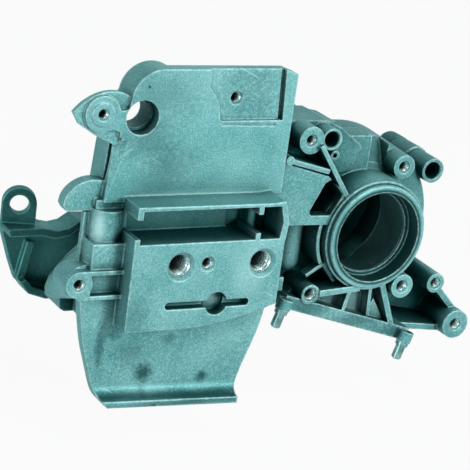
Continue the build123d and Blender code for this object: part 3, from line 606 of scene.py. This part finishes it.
# %% Put the sleeves in
# pitch and tooth in mm, and the radius in mm above which a hole is coarse
COARSE, FINE = (1.5, 0.85), (0.8, 0.42)
COARSE_ABOVE = 4
holes = [mount for mount in frame["record"]["mounts"] if mount["kind"] == "threaded_hole"]
for mount in holes:
    x, middle, z = (value / MM for value in mount["pos_m"])
    half = mount["dims"]["length_mm"] / 2
    wall_r = mount["dims"]["r_mm"]
    pitch, tooth = COARSE if wall_r > COARSE_ABOVE else FINE
    sleeve = thread_sleeve(mount["name"] + "_thread", x, z, middle - half, middle + half,
                           wall_r, pitch, tooth)
    if not outward(sleeve):
        sleeve.data.flip_normals()
    sleeve.data.materials.append(thread_metal)
    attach(sleeve, "root")
print("thread sleeves:", len(holes))


# %% [markdown]
# The studio. The part is shown on white, as in a parts list: a pale floor well below it and a
# pale world. Both look white to the camera and in reflections only, so the metal is lit at a
# plain level, at which a colour renders about as it is written.

# %% Floor
FLOOR_DROP = 16 * MM
FLOOR_REACH = 3.0
FLOOR_WHITE = 0.94


def seen_rays(tree):
    """1 for what the camera sees, straight, through or in a reflection, and 0 for the light."""
    rays = add(tree, "ShaderNodeLightPath").outputs
    straight = reckoned(tree, "MAXIMUM", rays["Is Camera Ray"], rays["Is Transmission Ray"])
    return reckoned(tree, "MAXIMUM", straight, rays["Is Glossy Ray"])


floor_z = cad_low[2] - FLOOR_DROP
corners = [(-FLOOR_REACH, -FLOOR_REACH, floor_z), (FLOOR_REACH, -FLOOR_REACH, floor_z),
           (FLOOR_REACH, FLOOR_REACH, floor_z), (-FLOOR_REACH, FLOOR_REACH, floor_z)]
floor_mesh = bpy.data.meshes.new("floor")
floor_mesh.from_pydata(corners, [], [(0, 1, 2, 3)])
floor = bpy.data.objects.new("floor", floor_mesh)
bpy.context.collection.objects.link(floor)
floor_paint, tree = new_finish("pale floor")
board = add(tree, "ShaderNodeBsdfDiffuse", Color=(0.82, 0.84, 0.84, 1.0))
shine = add(tree, "ShaderNodeEmission", Color=(1, 1, 1, 1), Strength=1.0)
show(tree, add(tree, "ShaderNodeMixShader", i0=times(tree, seen_rays(tree), FLOOR_WHITE),
               i1=board.outputs[0], i2=shine.outputs[0]))
floor_mesh.materials.append(floor_paint)
print("floor at", round(floor_z / MM, 1), "mm")


# %% [markdown]
# The world lights the part from all round. It is weak and a little teal, like the cast of the
# whole photograph, and the lamps do most of the work.

# %% World
WORLD_TEAL, WORLD_STRENGTH = (0.55, 0.98, 1.0, 1.0), 0.17
world = bpy.data.worlds.new("studio")
bpy.context.scene.world = world
world.use_nodes = True
tree = world.node_tree
tree.nodes.clear()
soft = add(tree, "ShaderNodeBackground", Color=WORLD_TEAL, Strength=WORLD_STRENGTH)
white = add(tree, "ShaderNodeBackground", Color=(1, 1, 1, 1), Strength=1.0)
show(tree, add(tree, "ShaderNodeMixShader", i0=seen_rays(tree), i1=soft.outputs[0],
               i2=white.outputs[0]), "World")
print("world:", world.name, "at strength", WORLD_STRENGTH)


# %% [markdown]
# The photograph's light. The faces that look forward and to the right are the palest, and the
# faces that look up are darker, so the main lamp stands in front, to the right and not high.
# A weaker one lights the left side, one from above keeps the ridges clear, and a faint one
# behind keeps the back from black. All are round and large, so that the shadows are soft.

# %% Lamps
LIT_POINT = (-0.035, 0.02, 0.0)


def soft_lamp(name, place, size, watts):
    lamp = bpy.data.lights.new(name, "AREA")
    lamp.shape = "DISK"
    lamp.size = size
    lamp.energy = watts
    holder = bpy.data.objects.new(name, lamp)
    holder.location = place
    toward = Vector(LIT_POINT) - Vector(place)
    holder.rotation_euler = toward.to_track_quat("-Z", "Y").to_euler()
    bpy.context.collection.objects.link(holder)
    return holder


lamps = [soft_lamp("key, in front and to the right", (0.42, -1.05, 0.26), 0.35, 8.2),
         soft_lamp("fill, left", (-1.0, -0.35, 0.10), 0.25, 2.6),
         soft_lamp("top, in front and above", (0.15, -0.75, 0.95), 0.18, 2.8),
         soft_lamp("rim, behind and above", (0.3, 0.9, 0.7), 0.4, 0.4)]
print("lamps in watts:", [round(lamp.data.energy, 1) for lamp in lamps])


# %% [markdown]
# The camera stands where the photographer's stood. Its place and turn were worked out from
# the round rims and the straight edges in the picture: a long lens, about thirty degrees to
# the left of the crank axis, looking down by about nineteen, and tilted by eight.

# %% Camera
TO_CAMERA = Matrix(((0.87737289, -0.46133307, 0.13186585),
                    (0.03917387, 0.34278675, 0.93859611),
                    (-0.47820729, -0.81833308, 0.31882401)))
CAMERA_SHIFT = Vector((53.1, -1.0, -700.3)) * MM
SENSOR = 36.0
FOCAL_PIXELS, PICTURE_PIXELS = 1888.82, 470
NEAREST = 0.05
camera = bpy.data.cameras.new("camera")
camera.sensor_width = SENSOR
camera.lens = FOCAL_PIXELS / PICTURE_PIXELS * SENSOR
camera.clip_start = NEAREST
stand = bpy.data.objects.new("camera", camera)
turn = TO_CAMERA.transposed()
stand.matrix_world = Matrix.Translation(-(turn @ CAMERA_SHIFT)) @ turn.to_4x4()
bpy.context.collection.objects.link(stand)
bpy.context.scene.camera = stand
bpy.context.scene.view_settings.view_transform = "Standard"
print("camera in mm:", [round(v / MM, 1) for v in stand.matrix_world.translation])
